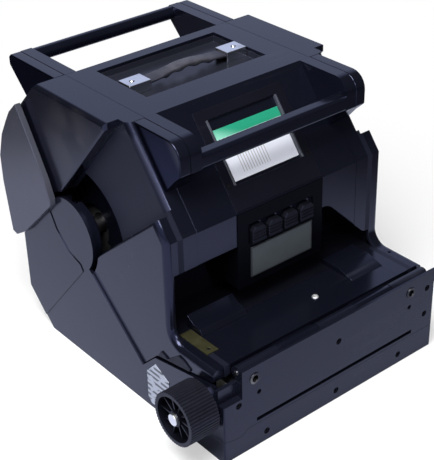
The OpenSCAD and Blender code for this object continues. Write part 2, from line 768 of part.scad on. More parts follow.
arm_x = seam_x + arm_t;
arm_h = 48;
arm_low = body_h - arm_h;
arm_root_drop = 17;
arm_root = arm_low - arm_root_drop;
arm_round = 20;
arm_round_steps = 6;
arm_chamfer = [12, 11];
rear_arm_step = [12, 12];
rear_arm_tip = 14;
rear_arm_edge = 4;
rear_arm = [
    [top_back_y, body_h], [body_d, back_top_z], [body_d, back_top_z] + rear_arm_step,
    [rear_bar_y, body_h - rear_arm_tip], [rear_bar_y, body_h - rear_arm_edge],
    [rear_bar_y - rear_arm_edge, body_h]];
front_arm = concat(
    [[slope_y, body_h]],
    arc([front_bar_y + arm_round, body_h - arm_round], arm_round, 90, 180, arm_round_steps),
    [[front_bar_y, arm_low + arm_chamfer[1]], [front_bar_y + arm_chamfer[0], arm_low],
     [slope_at(arm_root), arm_root]]);
module arms() {
    slab(-arm_x, -seam_x - eps, rear_arm);
    slab(-arm_x, -seam_x - eps, front_arm);
}
module left_arms() color(plastic) at_origin() arms();
module right_arms() color(plastic) at_origin() mirrored() arms();
// The front bar is a rounded rectangle, the rear bar is round
bar_half = seam_x - arm_t + eps;
bar_round = 5;
front_bar_rise = 9;
front_bar_low = arm_low + front_bar_rise;
module front_bar_edges() both_ways([0, 1, 0]) both_ways([0, 0, 1])
    translate([-far / 2, -front_bar_d / 2, -front_bar_h / 2]) rotate([90, 0, 90])
        edge_round(bar_round, far);
module front_handle() color(plastic) at_origin() {
    both_sides() slab(-seam_x, -seam_x + arm_t, front_arm);
    translate([0, front_bar_y + front_bar_d / 2, front_bar_low + front_bar_h / 2]) difference() {
        box(-bar_half, bar_half, -front_bar_d / 2, front_bar_d / 2, -front_bar_h / 2, front_bar_h / 2);
        front_bar_edges();
    }
}
rear_bar_r = rear_bar_d / 2;
module rear_handle() color(plastic) at_origin() {
    both_sides() slab(-seam_x, -seam_x + arm_t, rear_arm);
    rod(-bar_half, bar_half, rear_bar_y - rear_bar_r, body_h - rear_bar_r, rear_bar_r);
}

// Strap handle in the top plate

tray_t = 3;
tray_floor = body_h - strap_recess_d;
module strap_tray() color(plastic) at_origin() difference() {
    box(-tray_half - tray_t, tray_half + tray_t, tray_y[0] - tray_t, tray_y[1] + tray_t,
        tray_floor - tray_t, body_h - wall);
    box(-tray_half, tray_half, tray_y[0], tray_y[1], tray_floor, body_h);
}
end_l = 30;
end_wall = 1.5;
end_block = 4;
end_w = strap_w + 2 * end_wall;
end_t = 2;
end_h = strap_recess_d + 1;
end_x = -tray_half + 1;
module strap_ends() color([0.85, 0.86, 0.88]) at_origin() both_sides()
    translate([end_x, strap_y - end_w / 2, tray_floor]) difference() {
        cube([end_l, end_w, end_h]);
        translate([end_block, end_wall, -1]) cube([end_l, strap_w, end_h - end_t + 1]);
    }
strap_t = 4;
strap_rise = 9;
strap_low = end_h - end_t - strap_t;
strap_half = -end_x - end_block;
grip_half = 46;
grip_t = 7;
scallop = 1.5;
finger_pitch = 23;
bow_half = 58;
// Height of the strap's upper face: low under the end plates, bowed up between them
function strap_bow(x) = abs(x) > bow_half ? 0 : strap_rise * pow(cos(90 * x / bow_half), 2);
function strap_top(x) = strap_low + strap_t + strap_bow(x);
// The middle is a thicker grip, scalloped on its underside for the fingers
function strap_thick(x) = abs(x) > grip_half ? strap_t : grip_t - scallop * cos(360 * x / finger_pitch);
strap_steps = 64;
function strap_x(i) = -strap_half + 2 * strap_half * i / strap_steps;
module strap() color(plastic_dark) at_origin() translate([0, 0, tray_floor])
    across(strap_y - strap_w / 2, strap_y + strap_w / 2, concat(
        [for (i = [0:strap_steps]) [strap_x(i), strap_top(strap_x(i)) - strap_thick(strap_x(i))]],
        [for (i = [strap_steps:-1:0]) [strap_x(i), strap_top(strap_x(i))]]));
strap_screw_h = 1.2;
strap_screw_r = 3.5;
strap_screw_top_r = 2.5;
strap_screw_from_end = 11;
module strap_screws() color(steel) at_origin() both_sides()
    translate([end_x + strap_screw_from_end, strap_y, tray_floor + end_h])
        cylinder(h = strap_screw_h, r1 = strap_screw_r, r2 = strap_screw_top_r);

// Small pieces on the ledge

strip_x = [-side_x + 18, -side_x + 34];
strip_y = [front_y - 45, front_y + 3];
strip_t = 1.5;
strip_hole_y = strip_y[0] + 7;
module brass_strip() color([0.62, 0.57, 0.34]) at_origin() difference() {
    box(strip_x[0], strip_x[1], strip_y[0], strip_y[1], ledge_z, ledge_z + strip_t);
    translate([(strip_x[0] + strip_x[1]) / 2, strip_hole_y, ledge_z - 1])
        cylinder(h = strip_t + 2, r = small_hole_r);
}
button_at = [17, front_y - 41];
button_h = 1.6;
button_r = 4.2;
button_top_r = 3.4;
button_slot_w = 1.2;
module ledge_button() color(steel) at_origin()
    translate([button_at[0], button_at[1], ledge_z]) difference() {
        cylinder(h = button_h, r1 = button_r, r2 = button_top_r);
        translate([-button_slot_w / 2, -button_r - 1, button_h / 2])
            cube([button_slot_w, 2 * button_r + 2, button_h]);
    }

// Raised pads on the ledge that run back into the hand recess, in steps from the foot of the front face
pad_h = 7;
ledge_edge = [front_y, ledge_z];
left_pad_from_side = [35, 101];
left_pad_x = [for (d = left_pad_from_side) d - side_x];
left_pad_steps = [[-16, 0], [-12, pad_h], [0, pad_h + 2], [11, pad_h + 9], [11, 0]];
right_pad_from_side = [93, 42];
right_pad_x = [for (d = right_pad_from_side) side_x - d];
right_pad_steps = [[-47, 0], [-22, pad_h], [5, pad_h], [5, 0]];
module ledge_pads() color(plastic) at_origin() {
    slab(left_pad_x[0], left_pad_x[1], [for (p = left_pad_steps) ledge_edge + p]);
    slab(right_pad_x[0], right_pad_x[1], [for (p = right_pad_steps) ledge_edge + p]);
}

module hinge_pin() color(steel) at_origin()
    rod(knuckle_x0 - 1, knuckle_x(knuckle_count) + 1, hinge_y, hinge_z, hinge_pin_r);

base_pan();
base_left_side();
base_right_side();
left_wing();
right_wing();
mouth_upper_plate();
mouth_lower_plate();
mouth_screws();
mouth_bushes();
upper_light_seal();
lower_light_seal();
roller_bearings();
roller_guard();
side_label();
seam_trim();
feed_roller();
feed_gear();
pinch_roller();
knob();
knob_shaft();
knob_gear();
knob_cap();
spindle();
spindle_flanges();
core_chucks();
cover_left_cap();
cover_right_cap();
cover_centre();
cover_ledge();
hand_recess();
code_panel();
name_plate();
code_tab_1();
code_tab_2();
code_tab_3();
code_tab_4();
label_card();
label_door();
label_frame();
label_screws();
left_arms();
right_arms();
front_handle();
rear_handle();
strap_tray();
strap();
strap_ends();
strap_screws();
brass_strip();
ledge_button();
ledge_pads();
hinge_pin();
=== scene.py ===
import math

import bpy
import numpy as np
from mathutils import Matrix, Vector


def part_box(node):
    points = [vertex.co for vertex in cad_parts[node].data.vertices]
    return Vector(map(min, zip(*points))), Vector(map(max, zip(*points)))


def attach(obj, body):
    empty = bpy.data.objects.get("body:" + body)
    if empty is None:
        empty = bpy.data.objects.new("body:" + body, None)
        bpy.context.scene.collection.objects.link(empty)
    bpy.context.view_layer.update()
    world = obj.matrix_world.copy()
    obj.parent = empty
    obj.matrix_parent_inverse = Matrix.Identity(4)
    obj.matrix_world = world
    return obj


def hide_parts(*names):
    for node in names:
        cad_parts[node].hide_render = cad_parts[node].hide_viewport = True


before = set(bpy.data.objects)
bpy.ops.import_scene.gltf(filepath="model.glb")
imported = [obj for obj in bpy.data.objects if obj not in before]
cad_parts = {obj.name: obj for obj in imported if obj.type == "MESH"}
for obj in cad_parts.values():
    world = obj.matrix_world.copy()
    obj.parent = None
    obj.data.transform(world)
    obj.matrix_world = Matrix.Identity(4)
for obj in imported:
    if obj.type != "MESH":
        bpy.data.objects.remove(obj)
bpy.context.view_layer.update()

# The viewpoint: the magazine is seen from its left front and from above, as in the photograph,
# through a long lens held a little askew, so that its upright edges stay nearly parallel.
view_place = Vector((-0.78505, -0.96639, 0.89271))
view_azimuth = math.radians(-38.87)
view_elevation = math.radians(31.07)
view_roll = math.radians(-1.60)
view_lens_mm = 99.37
film_width_mm = 36.0

view_back = Vector((math.sin(view_azimuth) * math.cos(view_elevation),
                    -math.cos(view_azimuth) * math.cos(view_elevation),
                    math.sin(view_elevation)))
view_level = Vector((0, 0, 1)).cross(view_back).normalized()
view_rise = view_back.cross(view_level)
view_right = math.cos(view_roll) * view_level + math.sin(view_roll) * view_rise
view_up = math.cos(view_roll) * view_rise - math.sin(view_roll) * view_level
view_camera = bpy.data.cameras.new("view")
view_camera.lens = view_lens_mm
view_camera.sensor_fit = "HORIZONTAL"
view_camera.sensor_width = film_width_mm
viewpoint = bpy.data.objects.new("view", view_camera)
viewpoint.matrix_world = (Matrix.Translation(view_place)
                          @ Matrix((view_right, view_up, view_back)).transposed().to_4x4())
bpy.context.scene.collection.objects.link(viewpoint)
bpy.context.scene.camera = viewpoint
bpy.context.scene.view_settings.view_transform = "Standard"


# The studio: a pale floor under a white surround, lit by a large soft panel overhead and a small one
# in front. Pale backdrops behind the magazine and behind the viewer put a blue sheen on its gloss,
# and between them the room is dim.
class Term:
    """A value in a shader. Arithmetic between terms and numbers adds Math nodes."""

    def __init__(self, recipe, socket):
        self.recipe = recipe
        self.socket = socket

    def math(self, operation, first, second):
        return self.recipe.node("ShaderNodeMath", {"operation": operation}, {0: first, 1: second})

    def __add__(self, other):
        return self.math("ADD", self, other)

    __radd__ = __add__

    def __sub__(self, other):
        return self.math("SUBTRACT", self, other)

    def __rsub__(self, other):
        return self.math("SUBTRACT", other, self)

    def __mul__(self, other):
        return self.math("MULTIPLY", self, other)

    __rmul__ = __mul__

    def __mod__(self, other):
        return self.math("FLOORED_MODULO", self, other)

    def __lt__(self, other):
        return self.math("LESS_THAN", self, other)

    def __abs__(self):
        return self.math("ABSOLUTE", self, 0.0)


class Recipe:
    """A node tree. node() adds any node: its type, its settings, then its sockets' values or links."""

    def __init__(self, tree):
        self.tree = tree

    def node(self, kind, settings=None, sockets=None, output=0):
        made = self.tree.nodes.new(kind)
        for name, value in (settings or {}).items():
            setattr(made, name, value)
        for name, value in (sockets or {}).items():
            self.feed(made.inputs[name], value)
        return Term(self, made.outputs[output])

    def feed(self, socket, value):
        if isinstance(value, Term):
            self.tree.links.new(value.socket, socket)
        else:
            socket.default_value = value

    def place(self, stretch=(1, 1, 1)):
        """The piece's own coordinates in metres, scaled by stretch."""
        at = self.node("ShaderNodeTexCoord", output="Object")
        return self.node("ShaderNodeMapping", sockets={"Vector": at, "Scale": stretch})

    def axis(self, letter):
        """One of the piece's own coordinates, in metres."""
        return self.node("ShaderNodeSeparateXYZ", sockets={0: self.place()}, output=letter)

    def cloud(self, per_metre, detail=2.0, stretch=(1, 1, 1)):
        """Soft noise from 0 to 1, with about per_metre spots in a metre."""
        return self.node("ShaderNodeTexNoise",
                         sockets={"Vector": self.place(stretch), "Scale": per_metre, "Detail": detail})

    def step(self, value, low, high):
        """Rises smoothly from 0 where the value is low to 1 where it is high."""
        return self.node("ShaderNodeMapRange", {"interpolation_type": "SMOOTHSTEP"},
                         {"Value": value, "From Min": low, "From Max": high})

    def between(self, value, low, high, edge):
        """1 where the value is between low and high, with soft ends edge wide."""
        return self.step(value, low, low + edge) * (1 - self.step(value, high - edge, high))

    def blend(self, share, first, second):
        """The first colour where share is 0, the second where it is 1."""
        return self.node("ShaderNodeMix", {"data_type": "RGBA"},
                         {0: share, 6: first, 7: second}, output=2)

    def relief(self, height_mm):
        """A surface normal for a height given in millimetres."""
        return self.node("ShaderNodeBump",
                         sockets={"Height": height_mm, "Distance": 0.001, "Strength": 1.0})

    def surface(self, sockets):
        """Sets the sockets of the material's own shader."""
        for name, value in sockets.items():
            self.feed(self.shader.inputs[name], value)
        return self


def finish(name):
    """An empty material recipe with that name."""
    material = bpy.data.materials.new(name)
    material.use_nodes = True
    made = Recipe(material.node_tree)
    made.material = material
    made.shader = material.node_tree.nodes["Principled BSDF"]
    return made


def soft_panel(name, place, aim, width, height, watts):
    """A flat lamp at place, facing aim."""
    lamp = bpy.data.lights.new(name, "AREA")
    lamp.shape = "RECTANGLE"
    lamp.size = width
    lamp.size_y = height
    lamp.energy = watts
    stand = bpy.data.objects.new(name, lamp)
    stand.location = place
    stand.rotation_euler = (Vector(place) - Vector(aim)).to_track_quat("Z", "Y").to_euler()
    bpy.context.scene.collection.objects.link(stand)


def sheet_of_points(name, points):
    """A mesh piece from a grid of points (rows, columns, 3), with a face between four neighbours."""
    rows, columns = points.shape[:2]
    index = np.arange(rows * columns).reshape(rows, columns)
    quads = np.stack([index[:-1, :-1], index[1:, :-1], index[1:, 1:], index[:-1, 1:]], -1)
    mesh = bpy.data.meshes.new(name)
    mesh.from_pydata(points.reshape(-1, 3), [], quads.reshape(-1, 4))
    mesh.validate()
    piece = bpy.data.objects.new(name, mesh)
    bpy.context.scene.collection.objects.link(piece)
    return piece


white = (1, 1, 1, 1)
room_grey = (0.07, 0.07, 0.07, 1)
room_aim = (0, 0, 0.2)
backdrop_light = (0.53, 0.59, 0.82, 1)
backdrop_way = (0.60, 0.74, 0)
backdrop_climb = 0.30
backdrop_starts = 0.72
backdrop_full = 0.92
world = bpy.data.worlds.new("surround")
world.use_nodes = True
bpy.context.scene.world = world
surround = Recipe(world.node_tree)
seen_ray = surround.node("ShaderNodeLightPath", output="Is Camera Ray")
through_ray = surround.node("ShaderNodeLightPath", output="Is Transmission Ray")
mirror_ray = surround.node("ShaderNodeLightPath", output="Is Glossy Ray")
toward = surround.node("ShaderNodeTexCoord", output="Generated")
toward_backdrop = surround.node("ShaderNodeVectorMath", {"operation": "DOT_PRODUCT"},
                                {0: toward, 1: backdrop_way}, "Value")
toward_up = surround.node("ShaderNodeSeparateXYZ", sockets={0: toward}, output="Z")
backdrop_share = surround.step(abs(toward_backdrop) + backdrop_climb * toward_up,
                               backdrop_starts, backdrop_full)
mirrored_room = surround.blend(mirror_ray * backdrop_share, room_grey, backdrop_light)
surround.feed(world.node_tree.nodes["Background"].inputs["Color"],
              surround.blend(seen_ray + through_ray, mirrored_room, white))
soft_panel("overhead_panel", place=(-0.9, -0.5, 2.0), aim=room_aim, width=1.2, height=1.2, watts=80.0)
soft_panel("front_panel", place=(-0.35, -1.5, 1.2), aim=room_aim, width=0.5, height=0.5, watts=9.0)

floor_half = 6.0
floor_side = np.linspace(-floor_half, floor_half, 2)
floor_x, floor_y = np.meshgrid(floor_side, floor_side, indexing="ij")
floor = sheet_of_points("floor", np.stack([floor_x, floor_y, np.zeros_like(floor_x)], -1))
pale_floor = finish("pale_floor")
# In reflections the floor shows painted light: a blue pool round the magazine, dim beyond, with two pale
# bands of painted light across the left-front and right-back corners. Camera rays see it white, lifted
# from a lit floor near the magazine.
pool_shift = (0.10, -0.07, 0)
pool_edge = 0.50
pool_fade_end = 0.75
light_band_starts = 0.02
light_band_full = 0.12
floor_lift = 0.45
floor_white = (0.88, 0.88, 0.88, 1)
painted_pool_blue = (0.50, 0.53, 0.66, 1)
painted_dim_floor = (0.06, 0.06, 0.07, 1)
floor_place = pale_floor.node("ShaderNodeVectorMath", {"operation": "ADD"},
                              {0: pale_floor.place(), 1: pool_shift})
floor_r = pale_floor.node("ShaderNodeVectorMath", {"operation": "LENGTH"}, {0: floor_place}, "Value")
floor_rim = pale_floor.step(floor_r, pool_edge, pool_fade_end)
painted_light_band = pale_floor.step(pale_floor.axis("X") * pale_floor.axis("Y"),
                              light_band_starts, light_band_full)
floor_painted_light = pale_floor.blend(floor_rim * (1 - painted_light_band), painted_pool_blue, painted_dim_floor)
floor_seen = pale_floor.node("ShaderNodeLightPath", output="Is Camera Ray")
pale_floor.surface({
    "Base Color": pale_floor.blend(floor_seen, floor_painted_light, floor_white),
    "Roughness": 0.9,
    "Specular IOR Level": 0.1})
white_surround = pale_floor.node("ShaderNodeEmission", sockets={"Color": white})
floor_shader = Term(pale_floor, pale_floor.shader.outputs[0])
floor_fade = floor_lift + (1 - floor_lift) * floor_rim
floor_mix = pale_floor.node("ShaderNodeMixShader",
                            sockets={0: floor_seen * floor_fade, 1: floor_shader, 2: white_surround})
pale_floor.feed(pale_floor.tree.nodes["Material Output"].inputs["Surface"], floor_mix)
floor.data.materials.append(pale_floor.material)


# The base: a floor pan between two side walls with round hubs, and a raised wing on each side.
# All are glossy navy-black mouldings, faintly wavy as large mouldings are, with rubbed streaks.
# The wings stand out farthest and are greyer than the rest, in soft cloudy patches.
# Painted reflection colour: every gloss that uses this tint shows its reflections blue.
gloss_tint = (0.58, 0.62, 1.0, 1)


def gloss_moulding(name, colour, worn, gloss=0.13, shine=0.5):
    """Moulded plastic: a slow swell of the skin, smears in the gloss, fine grain and rubbed streaks.

    The recipe keeps its skin (a colour) and its gloss (a roughness), for pieces that wear more.
    """
    made = finish(name)
    smear = made.cloud(11, 4)
    streak_zone = made.step(made.cloud(7, 2), 0.48, 0.66)
    streak = streak_zone * made.step(made.cloud(60, 3, (0.10, 1, 1)), 0.60, 0.72)
    speck = made.step(made.cloud(420, 2), 0.70, 0.78)
    swell = 0.16 * made.cloud(8, 1) + 0.0012 * made.cloud(700, 2)
    made.skin = made.blend(0.30 * streak + 0.16 * speck + 0.08 * smear, colour, worn)
    made.gloss = gloss + 0.12 * smear + 0.14 * streak + 0.10 * speck
    return made.surface({
        "Base Color": made.skin,
        "Roughness": made.gloss,
        "Normal": made.relief(swell),
        "Specular IOR Level": shine,
        "Specular Tint": gloss_tint,
        "IOR": 1.5})


def dress(nodes, made):
    """Gives CAD pieces their finish."""
    for node in nodes:
        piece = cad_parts[node]
        piece.data.materials.clear()
        piece.data.materials.append(made.material)


same_point = 1e-6
flat_within = math.radians(0.3)
sharp_from = math.radians(38)
face_weight = 60


def soften_edges(nodes, width_mm, turns=2):
    """Merges a CAD piece's triangles into whole faces and rounds its sharp edges by width_mm."""
    for node in nodes:
        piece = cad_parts[node]
        merge = piece.modifiers.new("merge", "WELD")
        merge.merge_threshold = same_point
        whole = piece.modifiers.new("whole_faces", "DECIMATE")
        whole.decimate_type = "DISSOLVE"
        whole.angle_limit = flat_within
        edge = piece.modifiers.new("edges", "BEVEL")
        edge.width = width_mm / 1000
        edge.segments = turns
        edge.limit_method = "ANGLE"
        edge.angle_limit = sharp_from
        even = piece.modifiers.new("even_shade", "WEIGHTED_NORMAL")
        even.weight = face_weight


navy_black = (0.0020, 0.0024, 0.0055, 1)
rubbed_grey = (0.030, 0.032, 0.045, 1)
shell_gloss = gloss_moulding("navy_black_moulding", navy_black, rubbed_grey)
base_walls = ["base_pan", "base_left_side", "base_right_side"]
wings = ["left_wing", "right_wing"]
dress(base_walls, shell_gloss)
wing_grey = (0.096, 0.098, 0.122, 1)
wing_gloss = gloss_moulding("grey_wing_moulding", navy_black, rubbed_grey)
# The wings are blended 30 to 55 per cent towards a lighter grey, in cloudy patches.
wing_grey_share = 0.30 + 0.25 * wing_gloss.cloud(14, 4)
wing_gloss.surface({"Base Color": wing_gloss.blend(wing_grey_share, wing_gloss.skin, wing_grey)})
dress(wings, wing_gloss)
soften_edges(base_walls + wings, 0.8)

# The mouth: two thick plates across the front, screwed on, with the paper slit at their joint.
# Same moulding as the shell, but duller from docking, with long scuffs across.
mouth_plates = ["mouth_upper_plate", "mouth_lower_plate"]
mouth_navy = (0.0040, 0.0045, 0.0090, 1)
mouth_gloss = gloss_moulding("docking_face_moulding", mouth_navy, rubbed_grey, gloss=0.20, shine=0.36)
dress(mouth_plates, mouth_gloss)
soften_edges(mouth_plates, 0.6)

# The mouth's screws, which hold its plates, and the two small screws beside the card:
# blackened steel, dull all over with small bright nicks.
black_screws = ["mouth_screws", "label_screws"]
screw_blacking = (0.0030, 0.0030, 0.0040, 1)
screw_bare = (0.12, 0.12, 0.13, 1)
screw_black = finish("blackened_screw")
screw_nick = screw_black.step(screw_black.cloud(900, 3), 0.60, 0.70)
screw_black.surface({
    "Base Color": screw_black.blend(0.5 * screw_nick, screw_blacking, screw_bare),
    "Roughness": 0.45 + 0.15 * screw_black.cloud(300, 3),
    "Metallic": 0.8 * screw_nick,
    "Specular IOR Level": 0.1,
    "Normal": screw_black.relief(0.01 * screw_black.cloud(1200, 2))})
dress(black_screws, screw_black)
soften_edges(black_screws, 0.25)

# The turned steel pieces: docking bushes pressed into the mouth, pinch roller, shafts, spindle
# and hinge pin. Fine rings from the lathe run round the shafts, and lines run along the bushes,
# which are painted near black, a painted shade that shows them as dark holes.
tarnish_grey = (0.36, 0.35, 0.33, 1)


def turned_steel(name, colour, rough, line_stretch):
    """Turned or ground metal: fine lines left by the tool, and faint tarnish in patches."""
    made = finish(name)
    line = made.cloud(1500, 2, line_stretch)
    tarnish = made.step(made.cloud(50, 3), 0.45, 0.75)
    return made.surface({
        "Base Color": made.blend(0.45 * tarnish, colour, tarnish_grey),
        "Roughness": rough + 0.10 * line + 0.10 * tarnish,
        "Metallic": 1.0,
        "Normal": made.relief(0.004 * line)})


along_x = (0.05, 1, 1)
around_x = (1, 0.05, 0.05)
along_y = (1, 0.02, 1)
# Painted shade: the bushes' steel is near black, standing in for the shade in their holes.
bush_steel = turned_steel("bush_steel_painted_shade", (0.040, 0.040, 0.048, 1), 0.30, along_y)
dress(["mouth_bushes"], bush_steel)
soften_edges(["mouth_bushes"], 0.4)
shaft_steel = turned_steel("ground_shaft_steel", (0.62, 0.63, 0.65, 1), 0.20, around_x)
dress(["pinch_roller", "knob_shaft", "hinge_pin"], shaft_steel)
# The spindle is a dark steel.
spindle_steel = turned_steel("dark_spindle_steel", (0.09, 0.09, 0.10, 1), 0.34, around_x)
dress(["spindle"], spindle_steel)

# The light seals: strips of black plush glued into both halves of the slit.
# Every tuft is a small bump, with a soft bloom of light at a slant.
pile_root = (0.004, 0.004, 0.005, 1)
pile_tip = (0.020, 0.020, 0.023, 1)
seal_pile = finish("light_seal_pile")
pile_tuft = seal_pile.cloud(2600, 3)
seal_pile.surface({
    "Base Color": seal_pile.blend(pile_tuft, pile_root, pile_tip),
    "Roughness": 0.95,
    "Sheen Weight": 0.5,
    "Normal": seal_pile.relief(0.25 * pile_tuft)})
dress(["upper_light_seal", "lower_light_seal"], seal_pile)


# The drive inside: white acetal bearing blocks and gears, a rubber-sleeved feed roller and a dark
# guard plate over them, fixed between the side walls. The spindle's core chucks are moulded of
# the same dark plastic as the guard.
def plain_moulding(name, colour, other, rough, grain_mm):
    """Unpolished plastic or rubber: soft mottle in the colour and an even fine grain."""
    made = finish(name)
    mottle = made.cloud(45, 4)
    return made.surface({
        "Base Color": made.blend(mottle, colour, other),
        "Roughness": rough + 0.15 * mottle,
        "Normal": made.relief(grain_mm * made.cloud(1100, 3))})


acetal = plain_moulding("white_acetal", (0.72, 0.71, 0.66, 1), (0.80, 0.79, 0.75, 1),
                        rough=0.35, grain_mm=0.006)
dress(["roller_bearings", "feed_gear", "knob_gear"], acetal)
roller_rubber = plain_moulding("roller_rubber", (0.020, 0.020, 0.022, 1), (0.034, 0.034, 0.036, 1),
                               rough=0.65, grain_mm=0.02)
dress(["feed_roller"], roller_rubber)
inner_black = plain_moulding("inner_black_moulding", (0.010, 0.010, 0.013, 1), (0.018, 0.018, 0.022, 1),
                             rough=0.45, grain_mm=0.015)
dress(["roller_guard", "core_chucks"], inner_black)

# The feed knob: a deep black moulding with grip ridges, a dished face with spokes, and a bright cap
# pressed over the end of its shaft. Hands have polished the ridges and dulled the rim.
knob_lo, knob_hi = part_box("knob")
knob_axis_y = (knob_lo.y + knob_hi.y) / 2
knob_axis_z = (knob_lo.z + knob_hi.z) / 2
knob_rim_r = (knob_hi.z - knob_lo.z) / 2
dull_shine = {"Specular IOR Level": 0.3, "Specular Tint": gloss_tint}
knob_worn_from = 0.95
knob_dark = (0.0030, 0.0031, 0.0050, 1)
knob_rubbed = (0.020, 0.021, 0.028, 1)
knob_black = finish("handled_knob_black")
knob_y = knob_black.axis("Y") - knob_axis_y
knob_z = knob_black.axis("Z") - knob_axis_z
knob_r = knob_black.node("ShaderNodeMath", {"operation": "SQRT"}, {0: knob_y * knob_y + knob_z * knob_z})
knob_worn = knob_black.step(knob_r, knob_worn_from * knob_rim_r, knob_rim_r) * knob_black.cloud(120, 3)
knob_black.surface({
    "Base Color": knob_black.blend(0.6 * knob_worn, knob_dark, knob_rubbed),
    "Roughness": 0.30 + 0.2 * knob_black.cloud(90, 3),
    "Normal": knob_black.relief(0.01 * knob_black.cloud(900, 3)),
    **dull_shine})
dress(["knob"], knob_black)
soften_edges(["knob"], 0.35)
cap_silver = turned_steel("knob_cap_silver", (0.80, 0.80, 0.80, 1), 0.30, along_x)
dress(["knob_cap"], cap_silver)
soften_edges(["knob_cap"], 0.4)

# The spindle's flanges: two discs of spun aluminium sheet, fixed on the spindle,
# that hold the paper roll in line with the slit.
flange_sheet = turned_steel("spun_flange_sheet", (0.70, 0.71, 0.72, 1), 0.32, along_x)
dress(["spindle_flanges"], flange_sheet)

# The tag on the left side: a white foil, stuck on beside the knob,
# printed with rows of plain dark bars of uneven length.
tag_foil = (0.40, 0.43, 0.50, 1)
tag_black = (0.03, 0.03, 0.04, 1)
tag_row_pitch = 0.0072
tag_bar_low = 0.0016
tag_bar_high = 0.0056
tag_bar_edge = 0.0006
tag_white = finish("tag_white_foil")
tag_row = tag_white.axis("Z") % tag_row_pitch
tag_run = tag_white.step(tag_white.cloud(60, 2, (1, 1, 1.9)), 0.44, 0.47)
tag_ink = tag_white.between(tag_row, tag_bar_low, tag_bar_high, tag_bar_edge) * tag_run
tag_white.surface({
    "Base Color": tag_white.blend(0.85 * tag_ink, tag_foil, tag_black),
    "Roughness": 0.38 + 0.2 * tag_white.cloud(60, 3),
    "Normal": tag_white.relief(0.05 * tag_white.cloud(90, 2))})
dress(["side_label"], tag_white)

# The cover: two side caps with slanted channels, a centre shell between the lengthways seams,
# and the ledge with the hinge barrels and its pads. Same glossy moulding as the base;
# the caps have a painted highlight outside, a pale brownish patch in cloudy spots, and a duller floor in
# the channel.
cover_middle = ["cover_centre", "cover_ledge", "ledge_pads"]
caps = ["cover_left_cap", "cover_right_cap"]
dress(cover_middle, shell_gloss)
cap_lo, cap_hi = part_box("cover_left_cap")
cap_skin_depth = 0.004
channel_floor_in = 0.138
channel_floor_out = 0.147
channel_floor_edge = 0.002
channel_ends_below = 0.020
channel_clear_below = 0.008
highlight_middle_y = 0.060
highlight_middle_z = 0.298
highlight_core_r = 0.010
highlight_r = 0.060
highlight_grey = (0.110, 0.102, 0.104, 1)
cap_gloss = gloss_moulding("cap_moulding_painted_highlight", navy_black, rubbed_grey)
cap_side = abs(cap_gloss.axis("X"))
cap_outside = cap_gloss.step(cap_side, -cap_lo.x - cap_skin_depth, -cap_lo.x)
# Painted highlight: a pale brownish patch round a middle point on the outside of each cap, broken into
# cloudy spots.
highlight_y = cap_gloss.axis("Y") - highlight_middle_y
highlight_z = cap_gloss.axis("Z") - highlight_middle_z
highlight_spread = 1 - cap_gloss.step(highlight_y * highlight_y + highlight_z * highlight_z, highlight_core_r ** 2, highlight_r ** 2)
cap_painted_highlight = cap_outside * highlight_spread * cap_gloss.step(cap_gloss.cloud(26, 5), 0.34, 0.66)
cap_crest = cap_gloss.step(cap_gloss.axis("Z"),
                           cap_hi.z - channel_ends_below, cap_hi.z - channel_clear_below)
channel_floor = (1 - cap_crest) * cap_gloss.between(cap_side, channel_floor_in, channel_floor_out,
                                                    channel_floor_edge)
cap_gloss.surface({
    "Base Color": cap_gloss.blend(0.15 * cap_painted_highlight, cap_gloss.skin, highlight_grey),
    "Roughness": cap_gloss.gloss + 0.35 * channel_floor})
dress(caps, cap_gloss)
soften_edges(cover_middle + caps, 0.6)

# The hand recess: a deep matt black moulding set into the front of the cover.
# The toothed trim on the lower edge of the left cap is moulded of the same plastic and stands proud.
recess_black = plain_moulding("recess_black", (0.0012, 0.0013, 0.0022, 1), (0.0022, 0.0023, 0.0036, 1),
                              rough=0.42, grain_mm=0.02)
recess_black.surface(dull_shine)
dress(["hand_recess", "seam_trim"], recess_black)
soften_edges(["seam_trim"], 0.4)

# The code panel and its four sliding tabs: a dull black panel fixed in the middle of the hand recess,
# with a slot in which grooved satin tabs are set by hand.
panel_dull = gloss_moulding("code_panel_moulding", (0.0014, 0.0016, 0.0028, 1), (0.008, 0.0085, 0.011, 1),
                            gloss=0.26, shine=0.05)
dress(["code_panel"], panel_dull)
soften_edges(["code_panel"], 0.5)
tab_names = ["code_tab_1", "code_tab_2", "code_tab_3", "code_tab_4"]
tab_satin = plain_moulding("code_tab_grey", (0.0020, 0.0021, 0.0032, 1), (0.0040, 0.0041, 0.0058, 1),
                           rough=0.34, grain_mm=0.02)
tab_satin.surface(dull_shine)
dress(tab_names, tab_satin)
soften_edges(tab_names, 0.5)

# The plate below the tabs: a bare sheet of grey aluminium, brushed lengthways and stuck on,
# with a thin dark line round it.
plate_lo, plate_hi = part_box("name_plate")
plate_line = 0.0016
plate_line_black = (0.020, 0.022, 0.026, 1)
plate_dull = (0.085, 0.100, 0.108, 1)
plate_pale = (0.125, 0.142, 0.150, 1)
plate_grey = finish("brushed_plate_grey")
plate_x = abs(plate_grey.axis("X") - (plate_lo.x + plate_hi.x) / 2)
plate_z = abs(plate_grey.axis("Z") - (plate_lo.z + plate_hi.z) / 2)
plate_inside = ((plate_x < (plate_hi.x - plate_lo.x) / 2 - plate_line)
                * (plate_z < (plate_hi.z - plate_lo.z) / 2 - plate_line))
plate_brush = plate_grey.cloud(900, 2, (0.03, 1, 1))
plate_skin = plate_grey.blend(plate_grey.cloud(30, 3), plate_dull, plate_pale)
plate_grey.surface({
    "Base Color": plate_grey.blend(plate_inside, plate_line_black, plate_skin),
    "Roughness": 0.34 + 0.18 * plate_brush,
    "Metallic": 0.55 * plate_inside,
    "Normal": plate_grey.relief(0.004 * plate_brush)})
